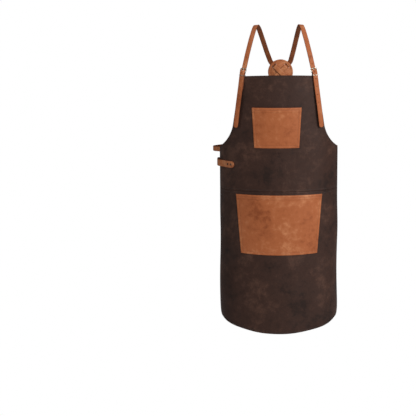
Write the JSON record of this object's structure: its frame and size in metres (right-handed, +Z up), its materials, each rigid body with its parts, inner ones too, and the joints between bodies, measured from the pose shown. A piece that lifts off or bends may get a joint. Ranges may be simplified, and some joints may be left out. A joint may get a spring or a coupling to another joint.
{
  "type": "butcher apron",
  "caption": "Leather butcher apron with a bib pocket, a hip pocket, a side towel loop and buckled shoulder straps that cross through a round piece on the back.",
  "frame": {"origin": "middle of the shoulders, at the underside of the straps on top of the shoulders", "axes": "+Z up, the front of the apron faces -Y, +X to the right as seen from the front"},
  "size_m": [0.4107, 0.2473, 0.9961],
  "materials": {
    "body_leather": "dark brown oiled leather with fine grain",
    "tan_leather": "tan leather, smooth with a soft sheen",
    "old_nickel": "antique nickel plate",
    "dark_rivet": "blackened nickel"
  },
  "bodies": {
    "apron": {"back_disc": "tan_leather", "bib_panel": "body_leather", "bib_pocket": "tan_leather", "chape_left": "tan_leather", "chape_right": "tan_leather", "chape_rivet_caps_left": "dark_rivet", "chape_rivet_caps_right": "dark_rivet", "chape_rivet_studs_left": "dark_rivet", "chape_rivet_studs_right": "dark_rivet", "hip_pocket": "tan_leather", "shoulder_strap_left": "tan_leather", "shoulder_strap_right": "tan_leather", "skirt_panel": "body_leather", "towel_loop": "tan_leather", "towel_loop_rivet_caps": "dark_rivet", "towel_loop_rivet_studs": "dark_rivet"},
    "buckle_left": {"buckle_frame_left": "old_nickel"},
    "prong_left": {"buckle_prong_left": "old_nickel"},
    "keeper_left": {"keeper_left": "old_nickel"},
    "buckle_right": {"buckle_frame_right": "old_nickel"},
    "prong_right": {"buckle_prong_right": "old_nickel"},
    "keeper_right": {"keeper_right": "old_nickel"}
  },
  "joints": [
    {"name": "buckle_hinge_left", "type": "hinge", "parent": "apron", "child": "buckle_left", "pos_m": [-0.11269, -0.10665, -0.14853], "axis": [0.9193, -0.372, -0.1288], "range_deg": [0, 15]},
    {"name": "prong_hinge_left", "type": "hinge", "parent": "buckle_left", "child": "prong_left", "pos_m": [-0.11269, -0.10665, -0.14853], "axis": [0.9193, -0.372, -0.1288], "range_deg": [0, 25]},
    {"name": "keeper_slide_left", "type": "slide", "parent": "apron", "child": "keeper_left", "axis": [0.1194, -0.0483, 0.9917], "range_m": [0, 0.005]},
    {"name": "buckle_hinge_right", "type": "hinge", "parent": "apron", "child": "buckle_right", "pos_m": [0.11269, -0.10665, -0.14853], "axis": [0.9193, 0.372, 0.1288], "range_deg": [0, 15]},
    {"name": "prong_hinge_right", "type": "hinge", "parent": "buckle_right", "child": "prong_right", "pos_m": [0.11269, -0.10665, -0.14853], "axis": [0.9193, 0.372, 0.1288], "range_deg": [0, 25]},
    {"name": "keeper_slide_right", "type": "slide", "parent": "apron", "child": "keeper_right", "axis": [-0.1194, -0.0483, 0.9917], "range_m": [0, 0.005]}
  ]
}
